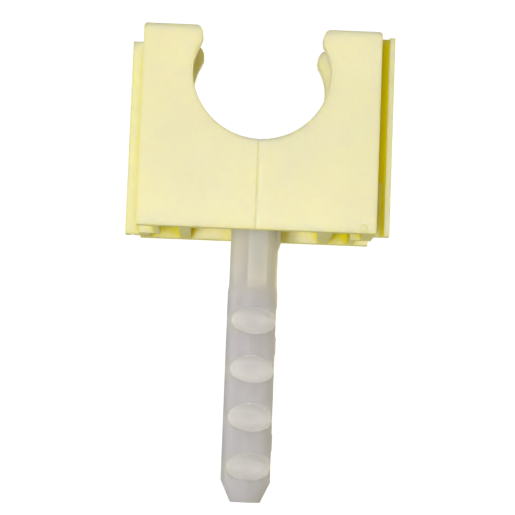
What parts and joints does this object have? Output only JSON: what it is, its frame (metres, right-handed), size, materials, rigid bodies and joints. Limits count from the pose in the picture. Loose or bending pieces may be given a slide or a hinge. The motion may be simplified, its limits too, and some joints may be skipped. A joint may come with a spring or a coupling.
{
  "type": "conduit clip",
  "caption": "Snap-in saddle clip for round conduit, with side rails that couple clips in a row and a notched plug that is pressed into a drilled hole.",
  "frame": {"origin": "on the plug's axis, in the plane of the wall that the saddle's foot stands on", "axes": "+Z out of the wall, from the plug's tip towards the cradle's mouth; +Y along the conduit, from the front plate to the rear plate; +X across the clip, towards the rail that lies nearer the front plate"},
  "size_m": [0.031, 0.015, 0.0548],
  "materials": {
    "cream_plastic": "fine matte moulded surface, cream",
    "natural_plastic": "undyed, translucent, satin"
  },
  "bodies": {
    "root": {"saddle": "cream_plastic", "plug": "natural_plastic"}
  },
  "joints": []
}
